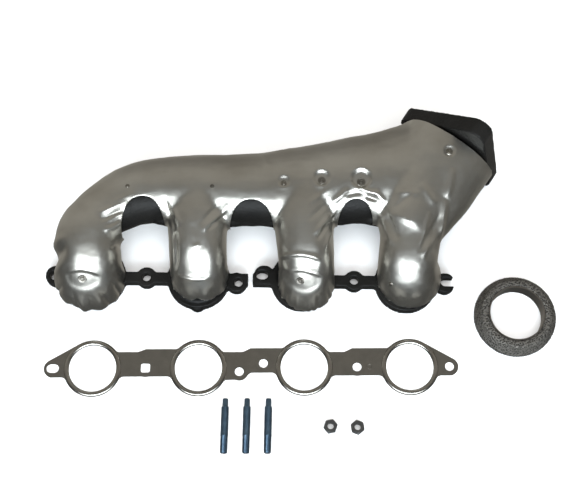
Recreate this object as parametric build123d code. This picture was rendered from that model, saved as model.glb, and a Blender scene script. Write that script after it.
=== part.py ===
"""Four-port exhaust manifold with a pressed heat shield, laid out with its gaskets, studs and nuts.

Millimetres. The origin is the middle of the port line on the port face. +X runs towards the
outlet end, +Y from the ports towards the log, and +Z out of the port face. The manifold
stands on its port pads and on one ear of the outlet flange, and the loose pieces lie on
the same plane, Z = 0.
"""
import os
from math import cos, radians, sin

from build123d import *

# ---------------------------------------------------------------- driving dimensions
PITCH = 111.76                                      # port to port, 4.4 in
PORTS = [PITCH * k for k in (-1.5, -0.5, 0.5, 1.5)]
PORT_BORE_R = 23.0
WALL = 5.0                                          # cast wall

# port flange, cast in two halves with a slit between the middle pair of bolts
FLANGE_T = 12.0
PAD_R = 33.5
WEB_LOW, WEB_HIGH = -6.5, 5.5                       # web edges, across the port line
SPLIT = 5.0
EAR_R = 11.0
BOLT_R = 4.75                                       # clearance for M8
SLOT_L = 13.0
END_BOLT_X = 209.55
MID_BOLT_X = PITCH
INNER_BOLT = (12.7, 4.4)                            # the two bolts beside the slit
END_EAR_X = 222.0

# runners and log: all centrelines meet at height LOG_Z
RUNNER_R = 28.0
ELBOW_R = 36.0
LOG_Z = 50.0
ELBOW_Z = LOG_Z - ELBOW_R
RUNNER_TOPS = (ELBOW_R, 85.0, 90.0, 105.0)
# x, y, heading in degrees from +X, half height, half depth
LOG_SECTIONS = [
    (PORTS[0], ELBOW_R, 90.0, RUNNER_R, RUNNER_R),
    (-156.0, 56.5, 57.0, 29.0, 29.0),
    (-131.0, 73.5, 28.0, 30.0, 29.5),
    (-100.0, 82.0, 6.0, 32.0, 30.0),
    (-40.0, 84.0, 1.0, 34.5, 30.0),
    (12.0, 85.0, 3.0, 36.0, 31.0),
    (62.0, 91.0, 8.0, 41.0, 32.0),
    (113.0, 98.5, 12.0, 45.5, 33.0),
    (158.0, 108.0, 20.0, 46.5, 33.0),
    (188.0, 120.0, 38.0, 44.0, 33.0),
]

# outlet
OUTLET_XY = (227.0, 152.5)                          # flange face centre, its height set below
OUTLET_AZIMUTH = 57.5
OUTLET_RISE = 4.0
OUTLET_TURN = 18.0                                  # of the three-bolt pattern about its axis
OUTLET_T = 18.0
OUTLET_BOLT_CIRCLE_R = 54.0
OUTLET_EAR_R = 14.0
OUTLET_BORE_R = 25.0
BORE_STEP = 1.5                                     # the cast passage stops short of the machined bore
STUD_TAP_R = 3.4
STUD_HOLE_DEPTH = 15.0
SPIGOT_R = 28.3
SPIGOT_L = 12.0
NECK_START = (166.0, 47.0, 60.0, 37.0, 32.0)        # a section like those of the log
NECK_MOUTH = (33.0, 33.0)                           # half width, half height at the flange
SHIELD_MOUTH = (49.5, 33.0)                         # the same for the shield, before its thickness
LOG_MOUTH_SHARE = 0.94                              # the log ends a little inside the neck
MOUTH_OVAL = 0.01                                   # a shade off round, to loft from an ellipse

# heat shield, as distances outwards from the casting
SHIELD_GAP = 1.0
INNER_SKIN_T = 0.8
MAT_T = 2.4
OUTER_SKIN_T = 0.8
SHIELD_LEVELS = (SHIELD_GAP, SHIELD_GAP + INNER_SKIN_T, SHIELD_GAP + INNER_SKIN_T + MAT_T,
                 SHIELD_GAP + INNER_SKIN_T + MAT_T + OUTER_SKIN_T)
SHIELD_HEM_Z = 45.0                                 # lower edge along the back of the log
SHIELD_FOOT_Z = 14.0                                # lower edge of the skirts round the runners
SHIELD_END_GAP = 3.0                                # from the outlet flange's back face
ARCHES = [(-112.5, 24.5, 63.0), (1.5, 26.5, 61.0), (111.0, 22.0, 66.0)]   # x, half width, top y
ARCH_CORNER_R = 14.0

# rivets: shank through the shield into the casting, head outside
RIVET_SHANK_R = 1.6
RIVET_BITE = 3.0
RIVET_HEAD_T = 1.8
RIVET_STAND = 0.3                                   # head above the skin, where it curves away
RIVET_TAPER = 0.7                                   # the head's top, as a share of its foot
# x, y, head radius
LOG_RIVETS = [(-127.8, 75.0, 2.2), (-39.7, 76.0, 2.2), (34.9, 81.0, 3.6),
              (74.3, 85.5, 4.2), (115.3, 84.8, 4.6), (207.0, 117.0, 3.8)]
# x from the port, port, angle up the elbow, head radius
RUNNER_RIVETS = [(-4.0, 0, 39.0, 4.6), (-2.4, 2, 37.0, 4.2), (-17.0, 3, 30.0, 2.6)]

# port gasket
GASKET_HOLE_R = 25.3
GASKET_RING_R = 30.5
GASKET_CORE_T = 0.7
GASKET_FACE_T = 0.4
FIRE_RING_T = 0.4
FIRE_RING_W = 3.0
GASKET_EAR_R = 9.5
GASKET_CORNER_R = 6.0                               # where the webs run into the rings
GASKET_STEP = 4.0                                   # half the run of a step in a web's edge
GASKET_FACE_INSET = 0.8
# for each web: x of the step, its upper edge left and right of it, its lower edge the same
GASKET_WEBS = [(-116.0, (17.5, 20.5), (-9.0, -9.0)), (-5.0, (17.0, 21.0), (-13.0, -5.5)),
               (103.0, (16.5, 20.5), (-9.0, -9.0))]
GASKET_BOLTS = [(-END_BOLT_X, 0), (-MID_BOLT_X, 0), (-INNER_BOLT[0], -INNER_BOLT[1]),
                INNER_BOLT, (MID_BOLT_X, 0), (END_BOLT_X, 0)]
GASKET_AT = (3.5, -95.5)
GASKET_TURN = 1.3

# outlet seal ring
SEAL_BORE_R = 28.5
SEAL_LINER_T = 1.2
SEAL_OUTER_R = 44.0
SEAL_TOP_R = 37.0
SEAL_H = 18.0
SEAL_RIM_H = 5.0
SEAL_AT = (284.4, -35.5)

# M8 studs and nuts
STUD_R = 4.0
STUD_L = 57.0
STUD_DOG_R = 2.9
STUD_DOG_L = 8.0
STUD_THREAD_NUT = 18.0
STUD_THREAD_HEAD = 16.0
SHANK_R = 3.6
THREAD_CHAMFER = 0.7
SHANK_TAPER = 0.4                                   # where the thread runs down to the shank
PILOT_CHAMFER = 0.6
STUDS_AT = [(-22.4, -158.4), (0.3, -158.0), (22.6, -157.6)]
NUT_FLATS = 13.0
NUT_H = 6.5
NUT_BORE_R = 3.4
NUT_CORNER_CUT = 0.9
NUTS_AT = [(87.4, -157.0, 12.0), (115.4, -157.5, 40.0)]        # x, y, turn

FAR = 400.0                                         # longer than any piece, for cutting

os.makedirs("parts", exist_ok=True)


def save(shape, node):
    export_step(shape, f"parts/{node}.step")


# ---------------------------------------------------------------- the outlet's own plane
def outlet_frame():
    """Origin on the outlet face, normal along the gas, y axis up, one ear touching Z = 0."""
    azimuth, rise = radians(OUTLET_AZIMUTH), radians(OUTLET_RISE)
    normal = (cos(rise) * cos(azimuth), cos(rise) * sin(azimuth), sin(rise))
    lowest_ear = min(sin(radians(outlet_ear_angle(k))) for k in range(3))
    height = cos(rise) * (OUTLET_EAR_R - OUTLET_BOLT_CIRCLE_R * lowest_ear) + OUTLET_T * sin(rise)
    return Plane(origin=(*OUTLET_XY, height), x_dir=(-sin(azimuth), cos(azimuth), 0), z_dir=normal)


def outlet_ear_angle(k):
    return 90 + OUTLET_TURN + 120 * k


def outlet_ears():
    return [Pos(Vector(OUTLET_BOLT_CIRCLE_R, 0, 0).rotate(Axis.Z, outlet_ear_angle(k)))
            for k in range(3)]


outlet_plane = outlet_frame()


# ---------------------------------------------------------------- gas passages, grown by a distance
def section(x, y, heading, half_height, half_depth, grow):
    """An elliptical section at the log's height, square to its heading."""
    a = radians(heading)
    plane = Plane(origin=(x, y, LOG_Z), x_dir=(-sin(a), cos(a), 0), z_dir=(cos(a), sin(a), 0))
    return plane * Ellipse(half_height + grow, half_depth + grow)


def mouth_section(mouth, grow, share=1.0):
    width, height = mouth
    ellipse = Ellipse(share * (width + grow), share * (height + grow) + MOUTH_OVAL)
    return outlet_plane.offset(-OUTLET_T / 2) * ellipse


def log_body(grow, mouth):
    sections = [section(*place, grow) for place in LOG_SECTIONS]
    return loft(sections + [mouth_section(mouth, grow, LOG_MOUTH_SHARE)], ruled=True)


def runner(port_x, top_y, radius):
    """A round tube from the port face, round its elbow and along +Y into the log."""
    path = Line((port_x, 0, 0), (port_x, 0, ELBOW_Z))
    path += TangentArc((port_x, 0, ELBOW_Z), (port_x, ELBOW_R, LOG_Z), tangent=(0, 0, 1))
    if top_y > ELBOW_R:
        path += Line((port_x, ELBOW_R, LOG_Z), (port_x, top_y, LOG_Z))
    return sweep(Plane((port_x, 0, 0)) * Circle(radius), path)


def neck_body(grow, mouth):
    """The neck from the last runner to the outlet flange."""
    return loft([section(*NECK_START, grow), mouth_section(mouth, grow)])


def gas_body(grow, mouth):
    body = log_body(grow, mouth) + neck_body(grow, mouth)
    for x, top in zip(PORTS, RUNNER_TOPS):
        body += runner(x, top, RUNNER_R + grow)
    return body


# ---------------------------------------------------------------- casting
def ear(x, y, length=0.0):
    """A bolt ear: round, or drawn out along X for a slotted hole."""
    if length:
        return Pos(x, y) * SlotCenterToCenter(length, 2 * EAR_R)
    return Pos(x, y) * Circle(EAR_R)


def bolt_hole(x, y, length=0.0):
    if length:
        return Pos(x, y) * SlotOverall(length, 2 * BOLT_R)
    return Pos(x, y) * Circle(BOLT_R)


def port_flange():
    web_mid, web_width = (WEB_LOW + WEB_HIGH) / 2, WEB_HIGH - WEB_LOW
    outline = Pos(0, web_mid) * Rectangle(2 * END_BOLT_X, web_width)
    for x in PORTS:
        outline += Pos(x, 0) * Circle(PAD_R)
    outline += ear(-END_BOLT_X, 0) + ear(-MID_BOLT_X, 0) + ear(MID_BOLT_X, 0)
    outline += ear(END_BOLT_X, -1)
    inner_x, inner_y = INNER_BOLT
    outline += ear(-inner_x - 2, -inner_y) + ear(inner_x + 2, inner_y)
    outline -= Rectangle(SPLIT, 4 * EAR_R)
    outline -= Pos(END_EAR_X + EAR_R, 0) * Rectangle(2 * EAR_R, FAR)
    return extrude(outline, FLANGE_T)


def port_bolt_holes():
    inner_x, inner_y = INNER_BOLT
    holes = bolt_hole(-END_BOLT_X, 0, SLOT_L) + bolt_hole(-MID_BOLT_X, 0) + bolt_hole(MID_BOLT_X, 0)
    holes += bolt_hole(-inner_x, -inner_y) + bolt_hole(inner_x, inner_y, SLOT_L)
    open_slot = Pos(END_BOLT_X + EAR_R / 2 + 2, 0) * Rectangle(EAR_R + 4, 2 * BOLT_R)
    holes += bolt_hole(END_BOLT_X, 0) + open_slot
    return extrude(holes, 2 * FLANGE_T, both=True)


def outlet_flange():
    ears = outlet_ears()
    outline = make_hull([edge for place in ears for edge in (place * Circle(OUTLET_EAR_R)).edges()])
    back = outlet_plane.offset(-OUTLET_T)
    plate = extrude(back * outline, OUTLET_T, dir=outlet_plane.z_dir)
    return plate + extrude(outlet_plane * Circle(SPIGOT_R), SPIGOT_L, dir=outlet_plane.z_dir)


def outlet_cuts():
    deep = outlet_plane.offset(-OUTLET_T - 6)
    length = OUTLET_T + 6 + 2 * SPIGOT_L
    cuts = extrude(deep * Circle(OUTLET_BORE_R), length, dir=outlet_plane.z_dir)
    bottom = outlet_plane.offset(-STUD_HOLE_DEPTH)
    for place in outlet_ears():
        cuts += extrude(bottom * place * Circle(STUD_TAP_R), length, dir=outlet_plane.z_dir)
    return cuts


def gas_bore():
    mouth_r = OUTLET_BORE_R + WALL - BORE_STEP
    inner_mouth = (mouth_r, mouth_r)
    bore = log_body(-WALL, inner_mouth) + neck_body(-WALL, inner_mouth)
    for x, top in zip(PORTS, RUNNER_TOPS):
        bore += runner(x, top, PORT_BORE_R)
        bore += Pos(x, 0, 0) * Cylinder(PORT_BORE_R, 2.0)
    return bore


def surface_place(body, start, towards):
    """Where a line first meets the body, with the z axis straight out of the metal."""
    hits = body.find_intersection_points(Axis(start, towards))
    point, normal = min(hits, key=lambda hit: (hit[0] - Vector(*start)).length)
    return Plane(origin=point, z_dir=normal if normal.dot(Vector(*towards)) < 0 else -normal)


def elbow_start(x, angle):
    """A point well out from a runner's elbow, and the direction back to it."""
    a = radians(angle)
    reach = 2 * (ELBOW_R + RUNNER_R)
    return (x, ELBOW_R - reach * cos(a), ELBOW_Z + reach * sin(a)), (0, cos(a), -sin(a))


casting_skin = gas_body(0.0, NECK_MOUTH)
rivet_places = [(surface_place(casting_skin, (x, y, FAR), (0, 0, -1)), head)
                for x, y, head in LOG_RIVETS]
rivet_places += [(surface_place(casting_skin, *elbow_start(PORTS[port] + dx, angle)), head)
                 for dx, port, angle, head in RUNNER_RIVETS]


def rivet_hole(place):
    return extrude(place.offset(-RIVET_BITE) * Circle(RIVET_SHANK_R), 6 * RIVET_BITE,
                   dir=place.z_dir)


rivet_holes = [rivet_hole(place) for place, _ in rivet_places]

casting = casting_skin + port_flange() + outlet_flange() - gas_bore() - outlet_cuts()
casting -= port_bolt_holes()
for hole in rivet_holes:
    casting -= hole
save(casting, "manifold_casting")


# ---------------------------------------------------------------- heat shield
def shield_region():
    """Where the pressed shield reaches: over the top, down round the runners, not the arches."""
    side = Polyline((-60, SHIELD_FOOT_Z), (4, SHIELD_FOOT_Z), (34, SHIELD_HEM_Z),
                    (FAR, SHIELD_HEM_Z), (FAR, FAR / 2), (-60, FAR / 2), close=True)
    profile = Plane(origin=(-FAR, 0, 0), x_dir=(0, 1, 0), z_dir=(1, 0, 0)) * make_face(side)
    region = extrude(profile, 2 * FAR, dir=(1, 0, 0))
    for x, half_width, top_y in ARCHES:
        length = top_y + FAR / 4
        arch = Pos(x, top_y - length / 2) * RectangleRounded(2 * half_width, length, ARCH_CORNER_R)
        region -= extrude(arch, FAR)
    beyond = outlet_plane.offset(-OUTLET_T - SHIELD_END_GAP) * Rectangle(FAR, FAR)
    return region - extrude(beyond, FAR, dir=outlet_plane.z_dir)


region = shield_region()
levels = [gas_body(level, SHIELD_MOUTH) for level in SHIELD_LEVELS]
layers = zip(("shield_inner_skin", "shield_mat", "shield_outer_skin"), levels, levels[1:])
for node, inside, outside in layers:
    layer = (outside - inside) & region
    for hole in rivet_holes:
        layer -= hole
    # offcuts are left where the arches graze the runners, so only the sheet itself is kept
    sheet = max(layer.solids(), key=lambda solid: solid.volume)
    save(sheet, node)


# ---------------------------------------------------------------- rivets
for number, (place, head_r) in enumerate(rivet_places, start=1):
    through = SHIELD_LEVELS[-1]
    shank = extrude(place.offset(-RIVET_BITE) * Circle(RIVET_SHANK_R), RIVET_BITE + through + 0.5,
                    dir=place.z_dir)
    seat = place.offset(through + RIVET_STAND)
    head = seat * Pos(0, 0, RIVET_HEAD_T / 2) * Cone(head_r, RIVET_TAPER * head_r, RIVET_HEAD_T)
    save(shank + head, f"shield_rivet_{number}")


# ---------------------------------------------------------------- port gasket
gasket_place = Pos(*GASKET_AT) * Rot(0, 0, GASKET_TURN)


def gasket_web(left, right, step, tops, bottoms):
    """The strip between two ports: its upper edge steps up and its lower edge may too."""
    (low_top, high_top), (left_bottom, right_bottom) = tops, bottoms
    before, after = step - GASKET_STEP, step + GASKET_STEP
    return make_face(Polyline((left, left_bottom), (before, left_bottom), (after, right_bottom),
                              (right, right_bottom), (right, high_top), (after, high_top),
                              (before, low_top), (left, low_top), close=True))


def gasket_end(side):
    """An end lug: the ring's edge runs straight to the top of the ear and level off its foot."""
    ring_edge = (Pos(side * PORTS[3], 0) * Circle(GASKET_RING_R)).edges()
    ear_edge = (Pos(side * END_BOLT_X, 0) * Circle(GASKET_EAR_R)).edges()
    below = Pos(side * FAR / 2, -GASKET_EAR_R - GASKET_RING_R) * Rectangle(FAR, 2 * GASKET_RING_R)
    return make_hull([*ring_edge, *ear_edge]) - below


def gasket_outline(inset):
    """The gasket's outline: rings at the ports, webs between them and a lug at each end."""
    outline = gasket_end(-1) + gasket_end(1)
    for x in PORTS:
        outline += Pos(x, 0) * Circle(GASKET_RING_R)
    for left, right, (step, tops, bottoms) in zip(PORTS, PORTS[1:], GASKET_WEBS):
        outline += gasket_web(left, right, step, tops, bottoms)
    for x, y in GASKET_BOLTS:
        outline += Pos(x, y) * Circle(GASKET_EAR_R)
    return offset(offset(outline, GASKET_CORNER_R), -GASKET_CORNER_R - inset)


def gasket_holes(port_r):
    holes = [Pos(x, 0) * Circle(port_r) for x in PORTS]
    holes += [Pos(x, y) * Circle(BOLT_R) for x, y in GASKET_BOLTS[1:]]
    holes += [Pos(*GASKET_BOLTS[0]) * SlotOverall(SLOT_L, 2 * BOLT_R)]
    return holes


core = gasket_outline(0.0) - gasket_holes(GASKET_HOLE_R)
save(gasket_place * extrude(core, GASKET_CORE_T), "gasket_core")
face = gasket_outline(GASKET_FACE_INSET) - gasket_holes(GASKET_HOLE_R + FIRE_RING_W)
face_level = gasket_place * Pos(0, 0, GASKET_CORE_T)
save(face_level * extrude(face, GASKET_FACE_T), "gasket_face")
for number, x in enumerate(PORTS, start=1):
    ring = Circle(GASKET_HOLE_R + FIRE_RING_W) - Circle(GASKET_HOLE_R)
    save(face_level * extrude(Pos(x, 0) * ring, FIRE_RING_T), f"gasket_fire_ring_{number}")


# ---------------------------------------------------------------- outlet seal ring
seal_place = Pos(*SEAL_AT)
liner_r = SEAL_BORE_R + SEAL_LINER_T
seal_half = make_face(Polyline((liner_r, 0), (SEAL_OUTER_R, 0), (SEAL_OUTER_R, SEAL_RIM_H),
                               (SEAL_TOP_R, SEAL_H), (liner_r, SEAL_H), close=True))
save(seal_place * revolve(Plane.XZ * seal_half, Axis.Z), "seal_mesh_ring")
liner_half = make_face(Polyline((SEAL_BORE_R, 0), (liner_r, 0), (liner_r, SEAL_H),
                                (SEAL_BORE_R, SEAL_H), close=True))
save(seal_place * revolve(Plane.XZ * liner_half, Axis.Z), "seal_liner")


# ---------------------------------------------------------------- studs and nuts
def stud():
    """Along +Y from its centre: nut end, waisted shank, head end and the plain pilot."""
    low = -STUD_L / 2
    top = STUD_L / 2
    pilot = top - STUD_DOG_L
    waist_low, waist_top = low + STUD_THREAD_NUT, pilot - STUD_THREAD_HEAD
    edge = STUD_R - THREAD_CHAMFER
    half = make_face(Polyline((0, low), (edge, low), (STUD_R, low + THREAD_CHAMFER),
                              (STUD_R, waist_low), (SHANK_R, waist_low + SHANK_TAPER),
                              (SHANK_R, waist_top - SHANK_TAPER), (STUD_R, waist_top),
                              (STUD_R, pilot - THREAD_CHAMFER), (STUD_DOG_R, pilot),
                              (STUD_DOG_R, top - PILOT_CHAMFER), (STUD_DOG_R - PILOT_CHAMFER, top),
                              (0, top), close=True))
    return revolve(half, Axis.Y)


def nut():
    body = extrude(RegularPolygon(NUT_FLATS / 2, 6, major_radius=False) - Circle(NUT_BORE_R), NUT_H)
    rim_r = NUT_FLATS / 2 / cos(radians(30)) - NUT_CORNER_CUT
    trim = Cone(rim_r + 2 * NUT_H, rim_r, 2 * NUT_H, align=(Align.CENTER, Align.CENTER, Align.MAX))
    return body & (Pos(0, 0, NUT_H) * trim)


for number, (x, y) in enumerate(STUDS_AT, start=1):
    save(Pos(x, y, STUD_R) * stud(), f"outlet_stud_{number}")
for number, (x, y, turn) in enumerate(NUTS_AT, start=1):
    save(Pos(x, y) * Rot(0, 0, turn) * nut(), f"outlet_nut_{number}")
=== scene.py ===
from math import cos, pi, radians, sin

import bpy
import numpy as np
from mathutils import Matrix, Vector, noise


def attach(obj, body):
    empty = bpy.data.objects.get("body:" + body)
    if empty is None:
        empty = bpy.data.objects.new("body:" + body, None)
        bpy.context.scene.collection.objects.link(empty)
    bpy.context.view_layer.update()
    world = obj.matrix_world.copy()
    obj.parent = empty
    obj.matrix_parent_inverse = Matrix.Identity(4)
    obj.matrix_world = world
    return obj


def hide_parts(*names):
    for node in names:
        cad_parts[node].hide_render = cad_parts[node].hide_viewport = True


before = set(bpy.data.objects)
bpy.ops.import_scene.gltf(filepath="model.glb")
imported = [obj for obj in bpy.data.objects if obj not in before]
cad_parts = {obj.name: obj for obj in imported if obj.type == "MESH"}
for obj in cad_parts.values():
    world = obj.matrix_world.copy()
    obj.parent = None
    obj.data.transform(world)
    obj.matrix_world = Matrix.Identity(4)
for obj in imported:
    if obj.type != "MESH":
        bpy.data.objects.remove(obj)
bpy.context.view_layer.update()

MM = 0.001

# ---------------------------------------------------------------- sizes shared by the pieces, in mm
PITCH = 111.76
PORTS = [PITCH * k for k in (-1.5, -0.5, 0.5, 1.5)]
LOG_Z = 50.0
ELBOW_R = 36.0
ELBOW_Z = LOG_Z - ELBOW_R

SHIELD_OUT = 5.0                 # outer skin's surface, outwards from the casting
SKIN_T = 0.8
SHIELD_VOXEL = 1.7
SHIELD_HEM_Z = 44.0              # the sheet's lower edge along the log


# ---------------------------------------------------------------- working in the scene
def deselect():
    if bpy.context.object and bpy.context.object.mode != "OBJECT":
        bpy.ops.object.mode_set(mode="OBJECT")
    bpy.ops.object.select_all(action="DESELECT")


def pick(piece):
    deselect()
    piece.select_set(True)
    bpy.context.view_layer.objects.active = piece


def apply_place(piece):
    pick(piece)
    bpy.ops.object.transform_apply(location=True, rotation=True, scale=True)


def modify(piece, kind, **settings):
    pick(piece)
    modifier = piece.modifiers.new(kind.lower(), kind)
    for name, value in settings.items():
        setattr(modifier, name, value)
    bpy.ops.object.modifier_apply(modifier=modifier.name)


def join(pieces, name):
    deselect()
    for piece in pieces:
        piece.select_set(True)
    bpy.context.view_layer.objects.active = pieces[0]
    bpy.ops.object.join()
    pieces[0].name = name
    return pieces[0]


def outward(piece):
    pick(piece)
    bpy.ops.object.mode_set(mode="EDIT")
    bpy.ops.mesh.select_all(action="SELECT")
    bpy.ops.mesh.remove_doubles(threshold=0.02 * MM)
    bpy.ops.mesh.normals_make_consistent(inside=False)
    bpy.ops.object.mode_set(mode="OBJECT")


def smooth_shade(piece, angle=40):
    pick(piece)
    bpy.ops.object.shade_smooth_by_angle(angle=radians(angle))


def points_of(piece):
    """The piece's points, one row each, in mm."""
    flat = np.zeros(len(piece.data.vertices) * 3, np.float32)
    piece.data.vertices.foreach_get("co", flat)
    return flat.reshape(-1, 3).astype(float) / MM


def set_points(piece, points):
    piece.data.vertices.foreach_set("co", (points * MM).astype(np.float32).ravel())
    piece.data.update()


def normals_of(piece):
    flat = np.zeros(len(piece.data.vertices) * 3, np.float32)
    piece.data.vertices.foreach_get("normal", flat)
    return flat.reshape(-1, 3).astype(float)


def copy_node(node, name):
    """A welded copy of a CAD node, to be worked further."""
    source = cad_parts[node]
    piece = bpy.data.objects.new(name, source.data.copy())
    bpy.context.scene.collection.objects.link(piece)
    piece.data.materials.clear()
    pick(piece)
    bpy.ops.object.mode_set(mode="EDIT")
    bpy.ops.mesh.select_all(action="SELECT")
    bpy.ops.mesh.remove_doubles(threshold=0.005 * MM)
    bpy.ops.object.mode_set(mode="OBJECT")
    return piece


def outline(name, points, closed):
    """A chain of edges through points in mm, joined up again at its end where closed."""
    deselect()
    bpy.ops.mesh.primitive_circle_add(vertices=len(points), radius=MM, calc_uvs=False, location=(0, 0, 0))
    piece = bpy.context.object
    piece.name = name
    set_points(piece, np.array(points, float))
    if not closed:
        for vertex in piece.data.vertices:
            vertex.select = vertex.index in (0, len(points) - 1)
        for edge in piece.data.edges:
            edge.select = 0 in edge.vertices and len(points) - 1 in edge.vertices
        bpy.ops.object.mode_set(mode="EDIT")
        bpy.ops.mesh.select_mode(type="VERT")
        bpy.ops.mesh.delete(type="EDGE")
        bpy.ops.object.mode_set(mode="OBJECT")
    return piece


def spin_closed(piece, steps):
    """Spins an outline in the XZ plane all the way round Z."""
    pick(piece)
    bpy.ops.object.mode_set(mode="EDIT")
    bpy.ops.mesh.select_all(action="SELECT")
    bpy.ops.mesh.spin(steps=steps, angle=2 * pi, center=(0, 0, 0), axis=(0, 0, 1), use_auto_merge=True)
    bpy.ops.mesh.select_all(action="SELECT")
    bpy.ops.mesh.remove_doubles(threshold=0.003 * MM)
    bpy.ops.mesh.normals_make_consistent(inside=False)
    bpy.ops.object.mode_set(mode="OBJECT")


def lathe(name, profile, steps, closed=True):
    """A profile of (radius, height) in mm spun round the upright axis."""
    piece = outline(name, [(r, 0, h) for r, h in profile], closed)
    spin_closed(piece, steps)
    return piece


def place_piece(piece, body, slot, material, *nodes):
    piece.data.materials.clear()
    piece.data.materials.append(material)
    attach(piece, body)
    if nodes:
        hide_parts(*nodes)


# ---------------------------------------------------------------- node helpers
def new_group(name, inputs, outputs):
    tree = bpy.data.node_groups.new(name, "ShaderNodeTree")
    for label, kind, value in inputs:
        socket = tree.interface.new_socket(label, in_out="INPUT", socket_type=kind)
        if value is not None:
            socket.default_value = value
    for label, kind in outputs:
        tree.interface.new_socket(label, in_out="OUTPUT", socket_type=kind)
    return tree, tree.nodes.new("NodeGroupInput"), tree.nodes.new("NodeGroupOutput")


def put(tree, kind, links=(), **settings):
    """A node in tree. links pairs an input's name or number with a socket or a plain value."""
    made = tree.nodes.new(kind)
    for name, value in settings.items():
        setattr(made, name, value)
    for name, value in dict(links).items():
        if isinstance(value, bpy.types.NodeSocket):
            tree.links.new(value, made.inputs[name])
        else:
            made.inputs[name].default_value = value
    return made


def ramp(tree, factor, stops):
    made = put(tree, "ShaderNodeValToRGB", {"Fac": factor})
    band = made.color_ramp
    while len(band.elements) < len(stops):
        band.elements.new(0.5)
    for element, (place, colour) in zip(band.elements, stops):
        element.position = place
        element.color = colour if len(colour) == 4 else (*colour, 1)
    return made.outputs["Color"]


def grey(v):
    return (v, v, v, 1)


def fractal_noise(tree, vector, scale, detail=6.0, roughness=0.55):
    links = {"Vector": vector, "Scale": scale, "Detail": detail, "Roughness": roughness}
    return put(tree, "ShaderNodeTexNoise", links).outputs["Fac"]


def stretched(tree, vector, scale):
    return put(tree, "ShaderNodeMapping", {"Vector": vector, "Scale": scale}).outputs["Vector"]


def mix_colour(tree, factor, a, b, blend="MIX"):
    made = put(tree, "ShaderNodeMix", {0: factor, 6: a, 7: b}, data_type="RGBA", blend_type=blend)
    return made.outputs[2]


def multiply(tree, a, b):
    return put(tree, "ShaderNodeMath", {0: a, 1: b}, operation="MULTIPLY").outputs[0]


def add(tree, a, b):
    return put(tree, "ShaderNodeMath", {0: a, 1: b}, operation="ADD").outputs[0]


def make_metal_grime():
    """Cloudy stains, fine grain and roughness change that every worn metal here shares."""
    tree, given, out = new_group(
        "metal_grime",
        [("Base", "NodeSocketColor", grey(0.5)), ("Stain", "NodeSocketColor", grey(0.3)),
         ("Amount", "NodeSocketFloat", 0.5), ("Cloud Scale", "NodeSocketFloat", 14.0),
         ("Grain Scale", "NodeSocketFloat", 900.0), ("Roughness", "NodeSocketFloat", 0.35),
         ("Spread", "NodeSocketFloat", 0.15)],
        [("Color", "NodeSocketColor"), ("Roughness", "NodeSocketFloat"), ("Height", "NodeSocketFloat")])
    place = put(tree, "ShaderNodeTexCoord").outputs["Object"]
    clouds = fractal_noise(tree, place, given.outputs["Cloud Scale"])
    patches = ramp(tree, clouds, [(0.35, grey(0)), (0.68, grey(1))])
    grain = fractal_noise(tree, place, given.outputs["Grain Scale"], 3.0, 0.6)
    share = multiply(tree, patches, given.outputs["Amount"])
    colour = mix_colour(tree, share, given.outputs["Base"], given.outputs["Stain"])
    rough = add(tree, given.outputs["Roughness"], multiply(tree, clouds, given.outputs["Spread"]))
    tree.links.new(colour, out.inputs["Color"])
    tree.links.new(rough, out.inputs["Roughness"])
    tree.links.new(grain, out.inputs["Height"])
    return tree


metal_grime = make_metal_grime()


def new_material(name):
    material = bpy.data.materials.new(name)
    material.use_nodes = True
    tree = material.node_tree
    return material, tree, tree.nodes["Principled BSDF"]


def grime(tree, base, stain, amount, cloud_scale, grain_scale, roughness, spread):
    made = tree.nodes.new("ShaderNodeGroup")
    made.node_tree = metal_grime
    values = (base, stain, amount, cloud_scale, grain_scale, roughness, spread)
    for socket, value in zip(made.inputs, values):
        socket.default_value = value
    return made


def bump(tree, height, strength, distance, normal=None):
    links = {"Height": height, "Strength": strength, "Distance": distance}
    if normal is not None:
        links["Normal"] = normal
    return put(tree, "ShaderNodeBump", links).outputs["Normal"]


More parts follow.
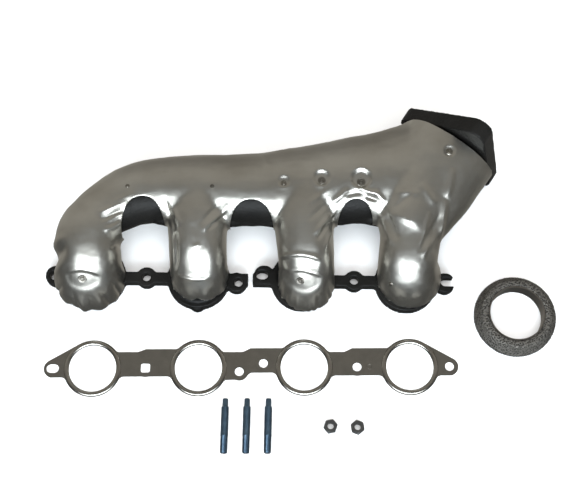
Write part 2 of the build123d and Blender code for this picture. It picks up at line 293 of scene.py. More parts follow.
# ---------------------------------------------------------------- materials
def shield_metal():
    """Aluminised sheet: warm grey, faint drawing marks and handling smears."""
    material, tree, shader = new_material("aluminised_sheet")
    shared = grime(tree, (0.54, 0.525, 0.485, 1), (0.41, 0.385, 0.34, 1), 0.75, 16.0, 700.0, 0.24, 0.14)
    place = put(tree, "ShaderNodeTexCoord").outputs["Object"]
    streaks = fractal_noise(tree, stretched(tree, place, (9, 40, 30)), 1.0, 5.0, 0.6)
    bands = ramp(tree, streaks, [(0.3, grey(0.80)), (0.55, grey(1.0)), (0.75, grey(1.10))])
    colour = mix_colour(tree, 0.45, shared.outputs["Color"], bands, "MULTIPLY")
    tree.links.new(colour, shader.inputs["Base Color"])
    smear = fractal_noise(tree, stretched(tree, place, (30, 12, 30)), 1.0, 4.0, 0.55)
    rough = add(tree, shared.outputs["Roughness"], multiply(tree, smear, 0.12))
    tree.links.new(rough, shader.inputs["Roughness"])
    soft = fractal_noise(tree, place, 42.0, 3.0, 0.5)
    normal = bump(tree, soft, 0.22, 0.0006)
    depth = put(tree, "ShaderNodeSeparateXYZ", {"Vector": place}).outputs["Y"]
    fade = [(0.0, grey(0.25)), (0.25, grey(0.8)), (0.45, grey(1.0)), (0.72, grey(0.75)), (0.84, grey(0.0))]
    inner_side = ramp(tree, multiply(tree, depth, 10.0), fade)
    fold_look = {"Vector": stretched(tree, place, (1.0, 0.55, 0.8)), "Scale": 46.0, "Detail": 3.0,
                 "Roughness": 0.45, "Distortion": 0.6}
    folds = put(tree, "ShaderNodeTexNoise", fold_look, noise_type="RIDGED_MULTIFRACTAL", normalize=True)
    normal = bump(tree, multiply(tree, folds.outputs["Fac"], inner_side), 0.30, 0.0011, normal)
    normal = bump(tree, streaks, 0.10, 0.0003, normal)
    normal = bump(tree, shared.outputs["Height"], 0.06, 0.0001, normal)
    tree.links.new(normal, shader.inputs["Normal"])
    shader.inputs["Metallic"].default_value = 1.0
    return material


def pitted_surface(name, base, stain, roughness, specular=0.5):
    """A dull, pitted skin, for the iron casting and for the mineral mat."""
    material, tree, shader = new_material(name)
    shared = grime(tree, base, stain, 0.7, 22.0, 420.0, roughness, 0.2)
    tree.links.new(shared.outputs["Color"], shader.inputs["Base Color"])
    tree.links.new(shared.outputs["Roughness"], shader.inputs["Roughness"])
    place = put(tree, "ShaderNodeTexCoord").outputs["Object"]
    pits = put(tree, "ShaderNodeTexVoronoi", {"Vector": place, "Scale": 380.0}).outputs["Distance"]
    normal = bump(tree, shared.outputs["Height"], 0.5, 0.0006)
    normal = bump(tree, pits, 0.25, 0.0004, normal)
    tree.links.new(normal, shader.inputs["Normal"])
    shader.inputs["Specular IOR Level"].default_value = specular
    return material


def plated_steel(name, base, stain, roughness, grain=1200.0, stretch=None):
    """Bright metal with fine grain; stretch draws the grain out into lines."""
    material, tree, shader = new_material(name)
    shared = grime(tree, base, stain, 0.7, 60.0, grain, roughness, 0.15)
    tree.links.new(shared.outputs["Color"], shader.inputs["Base Color"])
    tree.links.new(shared.outputs["Roughness"], shader.inputs["Roughness"])
    normal = bump(tree, shared.outputs["Height"], 0.15, 0.0002)
    if stretch:
        place = put(tree, "ShaderNodeTexCoord").outputs["Object"]
        lines = fractal_noise(tree, stretched(tree, place, stretch), 1.0, 4.0, 0.6)
        normal = bump(tree, lines, 0.15, 0.0002, normal)
    tree.links.new(normal, shader.inputs["Normal"])
    shader.inputs["Metallic"].default_value = 1.0
    return material


def knitted_wire():
    """Pressed knitted wire packed with graphite: bright loops over a dark ground."""
    material, tree, shader = new_material("knitted_wire")
    place = put(tree, "ShaderNodeTexCoord").outputs["Object"]
    cells = put(tree, "ShaderNodeTexVoronoi", {"Vector": place, "Scale": 520.0, "Randomness": 0.85})
    wires = ramp(tree, cells.outputs["Distance"], [(0.25, grey(0)), (0.62, grey(1))])
    shared = grime(tree, (0.035, 0.032, 0.029, 1), (0.016, 0.015, 0.014, 1), 0.8, 30.0, 1500.0, 0.42, 0.2)
    colour = mix_colour(tree, wires, shared.outputs["Color"], (0.15, 0.14, 0.125, 1))
    tree.links.new(colour, shader.inputs["Base Color"])
    tree.links.new(shared.outputs["Roughness"], shader.inputs["Roughness"])
    tree.links.new(bump(tree, wires, 0.8, 0.0007), shader.inputs["Normal"])
    shader.inputs["Metallic"].default_value = 0.7
    return material


SHEET = shield_metal()
CAST = pitted_surface("cast_iron_black", (0.0045, 0.0044, 0.0042, 1), (0.012, 0.0115, 0.0105, 1), 0.34, 0.14)
RIVET = plated_steel("rivet_steel", (0.33, 0.31, 0.275, 1), (0.17, 0.155, 0.135, 1), 0.26)
GASKET = plated_steel("gasket_plate", (0.25, 0.232, 0.205, 1), (0.19, 0.175, 0.152, 1), 0.34, 900.0,
                      (700, 30, 30))
BEAD = plated_steel("gasket_bead", (0.36, 0.34, 0.31, 1), (0.27, 0.25, 0.22, 1), 0.17)
WIRE = knitted_wire()
LINER = plated_steel("seal_liner_steel", (0.24, 0.22, 0.20, 1), (0.17, 0.155, 0.14, 1), 0.36)
MAT = pitted_surface("mineral_mat", (0.28, 0.26, 0.23, 1), (0.2, 0.185, 0.16, 1), 0.8)
BLUE = plated_steel("blue_zinc", (0.13, 0.20, 0.275, 1), (0.06, 0.10, 0.15, 1), 0.26)
NUT = plated_steel("grey_zinc", (0.17, 0.172, 0.172, 1), (0.09, 0.09, 0.09, 1), 0.30)


# ---------------------------------------------------------------- heat shield
def tube(name, stations):
    """A capped round tube through (x, y, z, radius) stations, all in mm."""
    deselect()
    bpy.ops.curve.primitive_bezier_curve_add(location=(0, 0, 0))
    curve = bpy.context.object
    spline = curve.data.splines[0]
    spline.bezier_points.add(len(stations) - 2)
    for point, (x, y, z, r) in zip(spline.bezier_points, stations):
        point.handle_left_type = point.handle_right_type = "AUTO"
        point.co = (x * MM, y * MM, z * MM)
        point.radius = r
    curve.data.dimensions = "3D"
    curve.data.bevel_depth = MM
    curve.data.bevel_resolution = 12
    curve.data.resolution_u = 10
    curve.data.use_fill_caps = True
    curve.data.twist_mode = "MINIMUM"
    pick(curve)
    bpy.ops.object.convert(target="MESH")
    curve.name = name
    apply_place(curve)
    outward(curve)
    return curve


def squash_height(piece, share):
    """Presses a tube flatter about the log's own height."""
    points = points_of(piece)
    points[:, 2] = LOG_Z + (points[:, 2] - LOG_Z) * share(points[:, 0])
    set_points(piece, points)


def runner_tube(x, top_y, foot, elbow, waist, top_r, climb=0.0):
    """A runner's cover from its foot up into the log; foot, elbow and waist give offsets and radius."""
    turn = radians(45)
    foot_x, foot_y, foot_r = foot
    elbow_x, elbow_r = elbow
    waist_x, waist_r = waist
    stations = [(x + foot_x, foot_y, 4, foot_r), (x + foot_x, foot_y, ELBOW_Z, foot_r)]
    stations.append((x + elbow_x, ELBOW_R * (1 - cos(turn)), ELBOW_Z + ELBOW_R * sin(turn), elbow_r))
    stations.append((x + waist_x, ELBOW_R, LOG_Z - 0.5 * climb, waist_r))
    if climb:
        stations.append((x + waist_x, 63, LOG_Z + 0.6 * climb, 0.4 * waist_r + 0.6 * top_r))
    stations.append((x + waist_x, top_y, LOG_Z, top_r))
    return tube("runner_cover", stations)


def log_tube():
    """The first runner's cover, running on as the log up to the outlet end."""
    foot_x = PORTS[0] - 4.5
    stations = [(foot_x, -1.5, 4, 38.0), (foot_x, -1.5, ELBOW_Z, 37.5)]
    stations += [(PORTS[0] - 2.5, 11.0, 40.5, 34.8), (PORTS[0] - 2.5, 32.0, 50.0, 33.8)]
    path = [(-161, 48, 28.0), (-147, 63, 28.2), (-126, 75.7, 30.0), (-100, 82.2, 32.0), (-60, 84.2, 34.6),
            (-20, 84.6, 35.8), (12, 85.8, 37.0), (50, 90.0, 40.0), (80, 94.0, 42.0), (113, 99.0, 45.0),
            (140, 103.0, 47.0), (165, 110.0, 48.0), (190, 121.0, 48.0), (214, 140.0, 48.0)]
    stations += [(x, y, LOG_Z, r + SHIELD_OUT) for x, y, r in path]
    return tube("log_cover", stations)


def neck_tube():
    """The swell from the fourth runner round to the outlet."""
    stations = [(164.5, 40, LOG_Z, 35.2), (171.5, 55, LOG_Z, 38.2), (191, 90, 51, 45.5), (206, 122, 53, 52.0),
                (220, 150, 54, 55.5)]
    return tube("neck_cover", stations)


def flatten_log(x):
    """Height as a share of width: round over the first runner, flatter as the log widens."""
    return np.interp(x, [-168, -140, -100, -40, 12, 62, 113, 160, 260],
                     [1.0, 1.0, 0.96, 0.90, 0.86, 0.80, 0.75, 0.72, 0.72])


def flatten_neck(x):
    return np.interp(x, [120, 166, 200, 260], [1.0, 1.0, 0.80, 0.72])


def bell(x, middle, width):
    return np.exp(-((x - middle) / width) ** 2)


def ridge(points, start, end, width, height):
    """A crease along a line seen from above: raised by height, fading at both ends."""
    a, b = np.array(start, float), np.array(end, float)
    along = b - a
    length = np.linalg.norm(along)
    t = ((points[:, :2] - a) @ along) / length ** 2
    nearest = a + np.clip(t, 0, 1)[:, None] * along
    off = np.linalg.norm(points[:, :2] - nearest, axis=1)
    fade = np.clip(1.0 - np.abs(2 * np.clip(t, 0, 1) - 1) ** 3, 0, 1)
    return height * np.exp(-(off / width) ** 2) * fade


def dish(points, centre, radius, depth, lip=0.0):
    """A round pressing: sunk inside radius, with an optional raised lip round it."""
    off = np.linalg.norm(points - np.array(centre), axis=1)
    inside = 1 / (1 + np.exp((off - radius) / 0.9))
    return -depth * inside + lip * np.exp(-((off - radius - 1.2) / 1.5) ** 2)


def crumple(points, scale, seed):
    offset = Vector((seed, seed * 1.7, seed * 0.3))
    return np.array([noise.fractal(Vector(p) / scale + offset, 0.8, 2.0, 4) for p in points])


# the skirts' lower edge: x, and its height there
HEMS = [(-215, 22), (-196, 13), (-168, 8), (-140, 9), (-128, 13), (-90, 16), (-74, 17), (-64, 20), (-54, 25),
        (-44, 20), (-30, 16), (10, 14), (40, 14), (48, 8), (60, 7), (84, 9), (100, 14), (130, 14), (150, 14),
        (170, 13), (190, 13), (215, 14)]
# arches over the gaps between runners: middle, half width, top and height of the round part
ARCHES = [(-111.5, 22.5, 65.5, 34.0), (1.5, 24.5, 64.0, 34.0), (111.0, 20.5, 67.5, 34.0)]
OUTLET_NORMAL = (0.535991, 0.841337, 0.069756)
OUTLET_CENTRE = (227.0, 152.5, 55.25)
SPIGOT_L = 6.0
SHIELD_END_GAP = 21.5            # from the outlet face back to the sheet's end
SHIELD_END = tuple(c - SHIELD_END_GAP * n for c, n in zip(OUTLET_CENTRE, OUTLET_NORMAL))


def shield_region(points):
    """Above zero where the sheet stays, its size the distance in mm to the edge."""
    x, y, z = points.T
    slope = np.clip((y - 6.0) / 28.0, 0, 1)
    foot = np.interp(x, *zip(*HEMS)) + 1.0 * np.sin(x * 0.55) * bell(y, -20, 18)
    keep = z - (foot + (SHIELD_HEM_Z - foot) * slope)
    for middle, half_width, top_y, crown in ARCHES:
        across = (x - middle) / half_width
        up = np.maximum(y - (top_y - crown), 0) / crown
        keep = np.minimum(keep, (np.sqrt(np.abs(across) ** 2.2 + up ** 2.2) - 1) * half_width)
    normal = np.array(OUTLET_NORMAL)
    beyond = (points - np.array(SHIELD_END)) @ normal
    return np.minimum(keep, -beyond)


def trim_to_region(piece, region):
    """Deletes what lies outside the region and draws the remaining edge onto its border."""
    points = points_of(piece)
    keep = region(points)
    for polygon in piece.data.polygons:
        polygon.select = all(keep[i] < 0 for i in polygon.vertices)
    pick(piece)
    bpy.ops.object.mode_set(mode="EDIT")
    bpy.ops.mesh.select_mode(type="FACE")
    bpy.ops.mesh.delete(type="FACE")
    bpy.ops.mesh.select_mode(type="VERT")
    bpy.ops.object.mode_set(mode="OBJECT")
    step = 0.05
    for _ in range(4):
        points = points_of(piece)
        value = region(points)
        slope = np.stack([region(points + step * axis) - value for axis in np.eye(3)], axis=1) / step
        size = np.maximum((slope ** 2).sum(axis=1), 0.25)
        move = np.where(value < 0, -value / size, 0.0)
        set_points(piece, points + np.clip(move, 0, 3)[:, None] * slope)


def rise(value, soft=1.0):
    """A smooth step from 0 to 1 as value passes zero."""
    return 1 / (1 + np.exp(-np.clip(value / soft, -30, 30)))


def elbow_place(points, port_x):
    """Where points lie on a runner's elbow: across it, and up it from the foot, in mm."""
    across = points[:, 0] - port_x
    angle = np.arctan2(points[:, 2] - ELBOW_Z, ELBOW_R - points[:, 1])
    return across, angle * (ELBOW_R + 30.0)


def on_runner(across, points):
    return rise(36.0 - np.abs(across), 1.5) * rise(34.0 - points[:, 1], 3.0)


def seat(points, port_x, middle, half_width, top, bottom, depth, brow_height):
    """A flat seat pressed into a runner's elbow, sharp above, easing out below."""
    across, up = elbow_place(points, port_x)
    off = (across - middle) / half_width
    upper = top - 0.30 * (top - bottom) * off ** 2
    lower = bottom + 0.30 * (top - bottom) * off ** 2
    width = rise(half_width - np.abs(across - middle), 1.2)
    inside = rise(upper - up, 0.45) * rise(up - lower, 1.6) * width
    brow = np.exp(-((up - upper - 2.2) / 2.4) ** 2) * width
    return (brow_height * brow - depth * inside) * on_runner(across, points)


def pleats(points, port_x, count, height, top_z, seed):
    """Gathers round the skirt at a runner's foot, deepest at the hem."""
    across = points[:, 0] - port_x
    round_foot = np.arctan2(across, -points[:, 1])
    places = zip(round_foot, points[:, 2])
    wander = np.array([noise.noise(Vector((a * 3.0, z * 0.03, seed))) for a, z in places])
    wave = np.abs(np.sin(round_foot * count / 2 + 1.6 * wander)) ** 0.7 - 0.6
    fade = rise(top_z - points[:, 2] + 6 * wander, 3.0) * rise(8.0 - points[:, 1], 4.0)
    return height * wave * fade * rise(40.0 - np.abs(across), 1.0)


# creases seen from above: start, end, width and height in mm
CREASES = [
    ((-157, 45), (-127, 60), 2.6, 1.3), ((-154, 38), (-130, 52), 2.2, -1.5),
    ((-150, 27), (-134, 41), 2.4, 1.3), ((-146, 33), (-133, 45), 2.0, -1.2),
    ((-143, 12), (-134, 27), 2.0, -1.4), ((-147, 55), (-120, 68), 3.0, 0.8),
    ((-90, 66), (-76, 30), 2.2, -1.5), ((-76, 30), (-76, -6), 2.2, -1.3),
    ((-84, 62), (-71, 34), 2.6, 0.9), ((-49, 28), (-22, 60), 2.4, 1.4), ((-44, 30), (-24, 53), 2.2, -1.4),
    ((-52, 34), (-28, 64), 2.6, -0.9), ((-58, 12), (-50, 15), 2.2, 0.9), ((66, 26), (92, 62), 2.4, 1.4),
    ((70, 22), (88, 52), 2.2, -1.6), ((78, 14), (86, 40), 2.0, 1.2), ((60, 40), (84, 66), 3.0, -0.8),
    ((60, 58), (84, 78), 3.0, 0.9), ((84, 62), (103, 76), 3.0, 1.5), ((96, 70), (118, 74), 2.6, -1.2),
    ((112, 77), (134, 72), 2.4, 1.7), ((120, 70), (133, 66), 2.2, -1.6), ((128, 76), (142, 64), 2.4, 1.4),
    ((134, 60), (150, 18), 3.0, 1.5), ((141, 56), (154, 24), 2.6, -1.4), ((203, 50), (179, 6), 3.2, 1.5),
    ((198, 52), (174, 10), 2.6, -0.8), ((186, 54), (176, 14), 2.2, 1.0), ((192, 40), (183, 4), 2.2, -0.8),
    ((211, 100), (204, 68), 4.0, 1.5), ((204, 68), (195, 18), 3.4, 1.7),
    ((170, 74), (150, 56), 4.0, -1.0), ((176, 82), (192, 60), 5.0, 1.1), ((150, 74), (176, 70), 4.0, 1.0),
    ((12, 122), (18, 98), 2.6, 0.5),
]


# round pressings for the fixings along the log: centre, radius and depth
PRESSINGS = [((34.8, 83.0, 87.0), 5.6, 2.2), ((74.1, 87.5, 87.5), 8.2, 3.0), ((115.3, 87.5, 87.5), 10.0, 3.4),
             ((207.1, 117.1, 92.0), 5.6, 1.4)]
# seats pressed into the elbows: port, middle, half width, top, bottom, depth and brow
SEATS = [(0, -4.5, 17.0, 53.0, 33.0, 1.5, 0.3), (2, -1.5, 20.0, 54.0, 30.0, 1.5, 0.3),
         (2, -2.5, 19.0, 71.0, 54.0, 1.3, 1.0)]
# gathers round the feet: port, count, height, top and where their wander starts
PLEATS = [(0, 13, 3.0, 35.0, 1.0), (1, 9, 1.7, 36.0, 5.0), (2, 21, 1.6, 29.0, 9.0), (3, 8, 0.7, 26.0, 13.0)]


def long_flat(points, port_x):
    """A long flat pressed up an elbow, with a small step out at its lower end."""
    across, up = elbow_place(points, port_x)
    strip = rise(15.5 - np.abs(across + 2.5), 1.2)
    sunk = 1.1 * strip * rise(up - 45.0, 0.7) * rise(76.0 - up, 4.0) * on_runner(across, points)
    step = 0.9 * bell(up, 43.5, 2.2) * strip * on_runner(across, points)
    return step - sunk


def press_features(points):
    """How far the sheet stands out or in at each point, in mm."""
    x, y, z = points.T
    out = 0.65 * crumple(points, 42.0, 3.1)
    near_arches = sum(bell(x, middle, 24) for middle, *_ in ARCHES)
    near_arches = near_arches * rise(74.0 - y, 5.0) * rise(y - 30.0, 4.0)
    out += 0.34 * crumple(points, 9.0, 8.4) * near_arches
    for start, end, width, height in CREASES:
        out += 1.35 * ridge(points, start, end, 0.85 * width, height) * rise(z - 46.0, 4.0)
    for centre, radius, depth in PRESSINGS:
        out += dish(points, centre, radius, depth, 0.35 * depth)
    for port, *shape in SEATS:
        out += seat(points, PORTS[port], *shape)
    out += long_flat(points, PORTS[1])
    for port, *shape in PLEATS:
        out += pleats(points, PORTS[port], *shape)
    # the left end is nipped in above the first runner's foot
    side = rise(-190.0 - x, 2.0)
    out += side * (1.6 * bell(y, 19, 5) - 3.4 * bell(y, 7, 6) + 1.5 * bell(y, -6, 5))
    return out


# a rivet's head and washer: share of the head's radius, and height
RIVET_PROFILE = [(0.0, 1.15), (0.22, 1.1), (0.30, 0.75), (0.36, 0.75), (0.44, 1.25), (0.55, 1.3),
                 (0.62, 0.95), (0.66, 0.55), (0.80, 0.5), (0.88, 0.62), (0.97, 0.4), (1.0, 0.0),
                 (0.98, -0.8), (0.0, -0.8)]
# each rivet: a point near it, the way it faces, its head's radius
RIVETS = [((-127.8, 75.0, 83), (0, 0, 1), 2.2), ((-39.7, 76.0, 85), (0, 0, 1), 2.2),
          ((34.8, 81.0, 86), (0, 0, 1), 3.6), ((74.1, 85.4, 86), (0, 0, 1), 4.2),
          ((115.3, 84.8, 86), (0, 0, 1), 4.6), ((207.1, 117.1, 91), (0, 0, 1), 3.8),
          ((-171.6, -17.5, 57), (0, -0.78, 0.63), 4.6), ((53.5, -18.9, 55.5), (0, -0.80, 0.60), 4.2),
          ((147.0, -16.0, 47.0), (-0.45, -0.70, 0.55), 2.6)]


def build_rivet(number, sheet, near, facing, radius):
    """A domed head on a stepped washer, set where a line along its axis meets the sheet."""
    way = Vector(facing).normalized()
    start = (Vector(near) + 40.0 * way) * MM
    hit, place, normal, _ = sheet.ray_cast(start, -way)
    profile = [(r * radius, h) for r, h in RIVET_PROFILE]
    rivet = lathe(f"rivet_head_{number}", profile, 28, closed=False)
    turn = normal.to_track_quat("Z", "Y")
    rivet.data.transform(Matrix.Translation(place) @ turn.to_matrix().to_4x4())
    smooth_shade(rivet, 35)
    place_piece(rivet, "manifold", "rivet", RIVET, f"shield_rivet_{number}")


def copied(piece, name):
    twin = piece.copy()
    twin.data = piece.data.copy()
    twin.name = name
    bpy.context.scene.collection.objects.link(twin)
    return twin


def build_shield():
    log, neck = log_tube(), neck_tube()
    squash_height(log, flatten_log)
    squash_height(neck, flatten_neck)
    runners = [runner_tube(PORTS[1], 84, (2.0, 0.5, 30.3), (1.5, 30.3), (0.0, 30.8), 36),
               runner_tube(PORTS[2], 88, (4.5, -4.0, 30.6), (4.0, 29.8), (1.7, 30.6), 37),
               runner_tube(PORTS[3], 95, (3.0, 4.0, 34.4), (-1.0, 31.2), (1.5, 31.8), 36.5, 4.5)]
    shield = join([log, neck, *runners], "shield_cover")
    modify(shield, "REMESH", mode="VOXEL", voxel_size=SHIELD_VOXEL * MM)
    modify(shield, "SMOOTH", factor=0.5, iterations=22)
    points = points_of(shield)
    set_points(shield, points + press_features(points)[:, None] * normals_of(shield))
    modify(shield, "SMOOTH", factor=0.5, iterations=1)
    trim_to_region(shield, shield_region)
    sheet = copied(shield, "sheet_surface")
    build_layer(shield, "shield_cover", 0.0, 0.0, SKIN_T, "shield_sheet", SHEET, "shield_outer_skin")
    build_layer(copied(sheet, ""), "shield_blanket", SKIN_T + 0.1, 1.6, 2.2, "insulation", MAT, "shield_mat")
    build_layer(copied(sheet, ""), "shield_lining", 3.3, 0.6, 0.6, "shield_sheet", SHEET, "shield_inner_skin")
    for number, (near, facing, radius) in enumerate(RIVETS, start=1):
        build_rivet(number, sheet, near, facing, radius)
    bpy.data.objects.remove(sheet)


def build_layer(layer, name, depth, inset, thickness, slot, material, node):
    """One sheet of the shield: sunk by depth, cut back by inset from the shield's edge."""
    layer.name = name
    if depth:
        set_points(layer, points_of(layer) - depth * normals_of(layer))
        trim_to_region(layer, lambda points: shield_region(points) - inset)
    modify(layer, "SOLIDIFY", thickness=thickness * MM, offset=-1.0, use_even_offset=False)
    smooth_shade(layer, 50)
    place_piece(layer, "manifold", slot, material, node)


build_shield()


# ---------------------------------------------------------------- casting
CASTING_VOXEL = 1.3
DRAW_IN = 2.4                    # how far the runners' walls are drawn in under the sheet
# the log's underside between runners, sagging into each of them: x, y and radius
UNDER_LOG = [[(-145, 50, 7), (-134, 55, 10), (-112, 60.5, 11), (-95, 57, 10), (-82, 50, 7)],
             [(-32, 50, 7), (-19, 56, 10), (2, 58.5, 11), (19, 57, 10), (32, 50, 7)],
             [(83, 56, 7), (95, 60, 10), (114, 63.5, 11), (131, 60, 10), (142, 54, 7)]]


def slim_runners(points, by):
    """Draws the runners' walls in, to leave room for the sheet where it sits close."""
    elbow_y, elbow_z = ELBOW_R - points[:, 1], points[:, 2] - ELBOW_Z
    bend = (elbow_y > 0) & (elbow_z > 0)
    reach = np.maximum(np.hypot(elbow_y, elbow_z), 1.0)
    out_of_bend = reach - ELBOW_R
    straight = np.where(elbow_y <= 0, points[:, 2] - LOG_Z, -points[:, 1])
    height = np.where(bend, out_of_bend, straight)
    for port_x in PORTS:
        across = points[:, 0] - port_x
        radius = np.maximum(np.hypot(across, height), 1.0)
        wall = np.clip((radius - 24) / 4, 0, 1) * np.clip((36 - radius) / 6, 0, 1)
        draw_in = by * wall * rise(52 - points[:, 1], 3.0) * rise(points[:, 2] - 14, 1.0)
        points[:, 0] -= draw_in * across / radius
        move = -draw_in * height / radius
        points[:, 1] += np.where(bend, -move * elbow_y / reach, np.where(elbow_y <= 0, 0, -move))
        points[:, 2] += np.where(bend, move * elbow_z / reach, np.where(elbow_y <= 0, move, 0))
    return points


def build_casting():
    casting = copy_node("manifold_casting", "casting_body")
    fillets = [tube("log_fillet", [(x, y, 46, r) for x, y, r in path]) for path in UNDER_LOG]
    boss = tube("pad_boss", [(PORTS[1], -28.0, height, r) for height, r in ((0.5, 8.5), (5, 8.5), (9, 8.0))])
    casting = join([casting, *fillets, boss], "casting_body")
    modify(casting, "REMESH", mode="VOXEL", voxel_size=CASTING_VOXEL * MM)
    modify(casting, "SMOOTH", factor=0.5, iterations=3)
    points = points_of(casting)
    points[:, 2] = np.where(points[:, 2] < 0.6, 0.0, points[:, 2])
    beyond = (points - np.array(OUTLET_CENTRE)) @ np.array(OUTLET_NORMAL) - SPIGOT_L
    points -= np.maximum(beyond, 0)[:, None] * np.array(OUTLET_NORMAL)
    points = slim_runners(points, DRAW_IN)
    set_points(casting, points)
    modify(casting, "DECIMATE", ratio=0.26)
    smooth_shade(casting, 60)
    place_piece(casting, "manifold", "casting", CAST, "manifold_casting")


build_casting()


# ---------------------------------------------------------------- loose pieces
GASKET_PLACE = Matrix.Translation((3.5 * MM, -95.5 * MM, 0)) @ Matrix.Rotation(radians(1.3), 4, "Z")
SEAL_PLACE = Matrix.Translation((284.4 * MM, -35.5 * MM, 0))
BEAD_PROFILE = [(24.9, 0.1), (24.9, 0.6), (25.2, 1.2), (25.9, 1.9), (26.9, 2.4), (28.0, 2.45), (29.0, 2.1),
                (29.8, 1.5), (30.2, 0.8), (30.3, 0.1)]
MESH_PROFILE = [(29.75, 0.8), (30.6, 0.1), (42.4, 0.1), (43.7, 1.3), (43.8, 5.2), (43.3, 6.9), (38.0, 16.3),
                (36.6, 17.6), (34.5, 18.0), (31.4, 18.0), (29.75, 17.2)]
SQUARE_HOLE = 9.8
LOOPS_ROUND = 75                 # knitted loops round the ring
LOOP_SLANT = 1.9


def resample(path, spacing):
    """Evenly spaced points along a closed path."""
    path = np.array(path + path[:1], float)
    run = np.concatenate([[0], np.cumsum(np.linalg.norm(np.diff(path, axis=0), axis=1))])
    places = np.linspace(0, run[-1], int(run[-1] / spacing), endpoint=False)
    return [(np.interp(t, run, path[:, 0]), np.interp(t, run, path[:, 1])) for t in places]


def cut(piece, cutter):
    """Takes the cutter's shape out of the piece and clears the cutter away."""
    modify(piece, "BOOLEAN", object=cutter, operation="DIFFERENCE", solver="EXACT")
    bpy.data.objects.remove(cutter)


def square_punch():
    """The square second hole's punch, with rounded corners."""
    deselect()
    bpy.ops.mesh.primitive_cube_add(size=SQUARE_HOLE * MM, location=(0, 0, 0))
    punch = bpy.context.object
    modify(punch, "BEVEL", width=2.0 * MM, segments=4)
    punch.data.transform(GASKET_PLACE @ Matrix.Translation((-PITCH * MM, 0, 0)))
    return punch


def stamped_mark():
    """The small raised circle beside the right-hand bolt hole."""
    deselect()
    bpy.ops.mesh.primitive_torus_add(major_radius=2.5 * MM, minor_radius=0.35 * MM, major_segments=32,
                                     minor_segments=8, location=(0, 0, 0))
    mark = bpy.context.object
    mark.data.transform(GASKET_PLACE @ Matrix.Translation((124.6 * MM, 0.3 * MM, 1.1 * MM)))
    return mark


def build_gasket_plate(node, name, slot):
    plate = copy_node(node, name)
    cut(plate, square_punch())
    if node == "gasket_face":
        plate = join([plate, stamped_mark()], name)
    smooth_shade(plate, 30)
    place_piece(plate, "port_gasket", slot, GASKET, node)


def build_bead(number, port_x):
    bead = lathe(f"gasket_bead_{number}", BEAD_PROFILE, 96)
    bead.data.transform(GASKET_PLACE @ Matrix.Translation((port_x * MM, 0, 0)))
    smooth_shade(bead, 50)
    place_piece(bead, "port_gasket", "gasket_coating", BEAD, f"gasket_fire_ring_{number}")


def build_seal():
    """The ring of pressed wire, with its knitted loops standing out of the surface."""
    ring = lathe("seal_wire_ring", resample(MESH_PROFILE, 0.8), 540)
    points = points_of(ring)
    turn = np.arctan2(points[:, 1], points[:, 0])
    radius = np.hypot(points[:, 0], points[:, 1])
    climb = (44.0 - radius) + points[:, 2]
    one_way = np.sin(LOOPS_ROUND * turn + LOOP_SLANT * climb)
    other_way = np.sin(LOOPS_ROUND * turn - LOOP_SLANT * climb)
    loops = np.abs(one_way * other_way)
    uneven = np.array([noise.fractal(Vector(p) / 2.2, 0.9, 2.0, 3) for p in points])
    depth = (0.55 * (loops - 0.6) + 0.35 * uneven) * rise(radius - 29.9, 0.1)
    points += depth[:, None] * normals_of(ring)
    points[:, 2] = np.maximum(points[:, 2], 0.0)
    set_points(ring, points)
    ring.data.transform(SEAL_PLACE)
    smooth_shade(ring, 60)
    place_piece(ring, "outlet_seal", "wire_mesh", WIRE, "seal_mesh_ring")


def refinish_liner():
    """The liner's shape stays as it is and only takes a new finish."""
    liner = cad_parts["seal_liner"].data
    liner.materials.clear()
    liner.materials.append(LINER)


STUD_HALF_L = 28.5
STUD_R = 4.0
PILOT_START = 20.5
PILOT_R = 2.9
THREAD_PITCH = 1.25
THREAD_DEPTH = 0.62
COLLAR_AT = -9.6
STUDS_AT = [(-22.4, -158.4), (0.3, -158.0), (22.6, -157.6)]
NUTS_AT = [(87.4, -157.0), (115.4, -157.5)]


def build_stud(number, x, y):
    """Thread at both ends of a short plain collar, then the plain pilot."""
    low = -STUD_HALF_L
    heights = np.arange(low + 0.9, PILOT_START - 0.9, 0.25)
    profile = [(0.0, low), (3.0, low), (3.3, low + 0.2)] + [(STUD_R, h) for h in heights]
    profile += [(3.1, PILOT_START), (PILOT_R, PILOT_START + 0.3), (PILOT_R, STUD_HALF_L - 0.6),
                (2.3, STUD_HALF_L), (0.0, STUD_HALF_L)]
    stud = lathe(f"threaded_stud_{number}", profile, 24, closed=False)
    points = points_of(stud)
    turn = np.arctan2(points[:, 1], points[:, 0])
    climb = (points[:, 2] / THREAD_PITCH - turn / (2 * pi)) % 1.0
    groove = THREAD_DEPTH * (1 - np.abs(2 * climb - 1)) ** 1.2
    height = points[:, 2]
    threaded = np.where(height < -10.5, 1.0, 0.35) * (height < PILOT_START - 1.0)
    threaded *= 1.0 - bell(height, COLLAR_AT, 0.8)
    radius = np.hypot(points[:, 0], points[:, 1])
    share = np.where(radius > 3.5, 1 - groove * threaded / np.maximum(radius, 0.1), 1.0)
    points[:, :2] *= share[:, None]
    set_points(stud, points)
    stud.data.transform(Matrix.Translation((x * MM, y * MM, STUD_R * MM)) @ Matrix.Rotation(-pi / 2, 4, "X"))
    smooth_shade(stud, 40)
    place_piece(stud, f"stud_{number}", "blue_zinc", BLUE, f"outlet_stud_{number}")


def build_nut(number, x, y):
    nut = copy_node(f"outlet_nut_{number}", f"stud_nut_{number}")
    modify(nut, "BEVEL", width=0.35 * MM, segments=2, limit_method="ANGLE", angle_limit=radians(25))
    smooth_shade(nut, 30)
    place_piece(nut, f"nut_{number}", "grey_zinc", NUT, f"outlet_nut_{number}")


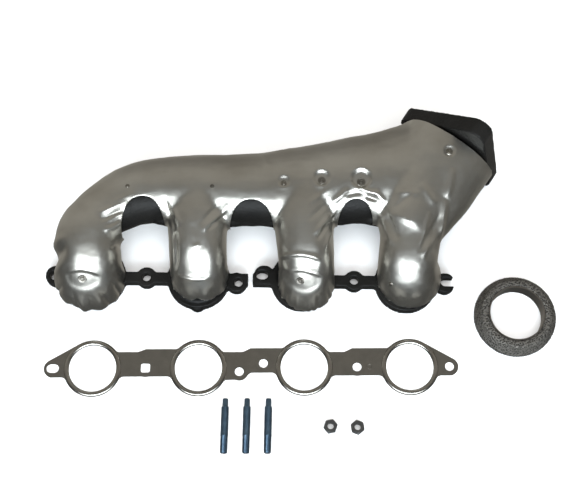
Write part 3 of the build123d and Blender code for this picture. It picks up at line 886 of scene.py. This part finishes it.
build_gasket_plate("gasket_core", "gasket_plate", "gasket_steel")
build_gasket_plate("gasket_face", "gasket_coated_face", "gasket_coating")
for number, port_x in enumerate(PORTS, start=1):
    build_bead(number, port_x)
build_seal()
refinish_liner()
for number, (x, y) in enumerate(STUDS_AT, start=1):
    build_stud(number, x, y)
for number, (x, y) in enumerate(NUTS_AT, start=1):
    build_nut(number, x, y)


# ---------------------------------------------------------------- floor, light and camera
FLOOR_TONE = 0.93


def floor_material():
    material, _, shader = new_material("studio_paper")
    shader.inputs["Base Color"].default_value = grey(FLOOR_TONE)
    shader.inputs["Roughness"].default_value = 0.9
    return material


deselect()
bpy.ops.mesh.primitive_plane_add(size=8, location=(0, 0, -0.0002))
floor = bpy.context.object
floor.name = "floor"
floor.data.materials.append(floor_material())


def softbox(name, place, target, size, power, tone=(1, 1, 1), shows=True):
    deselect()
    bpy.ops.object.light_add(type="AREA", location=place)
    lamp = bpy.context.object
    lamp.name = name
    lamp.data.shape = "RECTANGLE"
    lamp.data.size, lamp.data.size_y = size
    lamp.data.energy = power
    lamp.data.color = tone
    lamp.rotation_euler = (Vector(target) - Vector(place)).to_track_quat("-Z", "Y").to_euler()
    lamp.visible_glossy = shows


softbox("front_softbox", (0.05, -1.25, 0.90), (0.05, 0.0, 0.05), (1.0, 0.4), 8, (0.84, 0.93, 1.0))
softbox("front_wide_softbox", (0.05, -1.30, 0.95), (0.05, 0.0, 0.05), (2.2, 1.0), 46, (0.86, 0.94, 1.0))
softbox("overhead_fill", (0.1, 0.1, 2.4), (0.05, 0.0, 0.0), (2.6, 2.6), 70, shows=False)


def studio_world():
    """A room lit from behind the log: bright towards +Y and overhead, dark towards the ports."""
    world = bpy.data.worlds.new("studio")
    bpy.context.scene.world = world
    world.use_nodes = True
    tree = world.node_tree
    direction = put(tree, "ShaderNodeTexCoord").outputs["Generated"]
    depth = put(tree, "ShaderNodeSeparateXYZ", {"Vector": direction}).outputs["Y"]
    whole_range = {"Value": depth, "From Min": -1.0, "From Max": 1.0}
    share = put(tree, "ShaderNodeMapRange", whole_range).outputs["Result"]
    tones = [(0.0, (0.05, 0.05, 0.05)), (0.35, (0.085, 0.083, 0.077)), (0.50, (0.25, 0.242, 0.222)),
             (0.66, (0.43, 0.415, 0.378)), (0.86, (0.46, 0.445, 0.405)), (1.0, (0.26, 0.25, 0.23))]
    tone = ramp(tree, share, tones)
    tree.links.new(tone, tree.nodes["Background"].inputs["Color"])


studio_world()
floor.visible_glossy = False

CAMERA_AT = Vector((0.0447, -0.3863, 1.1888))
CAMERA_LOOKS_AT = Vector((0.0447, 0.0491, 0.0))
CAMERA_ROLL = radians(0.97)
CAMERA_LENS = 70.8
SENSOR_WIDTH = 36.0
deselect()
bpy.ops.object.camera_add(location=CAMERA_AT)
camera = bpy.context.object
turn = (CAMERA_LOOKS_AT - CAMERA_AT).to_track_quat("-Z", "Y").to_matrix()
turn = turn @ Matrix.Rotation(CAMERA_ROLL, 3, "Z")
camera.rotation_euler = turn.to_euler()
camera.data.sensor_width = SENSOR_WIDTH
camera.data.lens = CAMERA_LENS
bpy.context.scene.camera = camera
bpy.context.scene.view_settings.view_transform = "Standard"
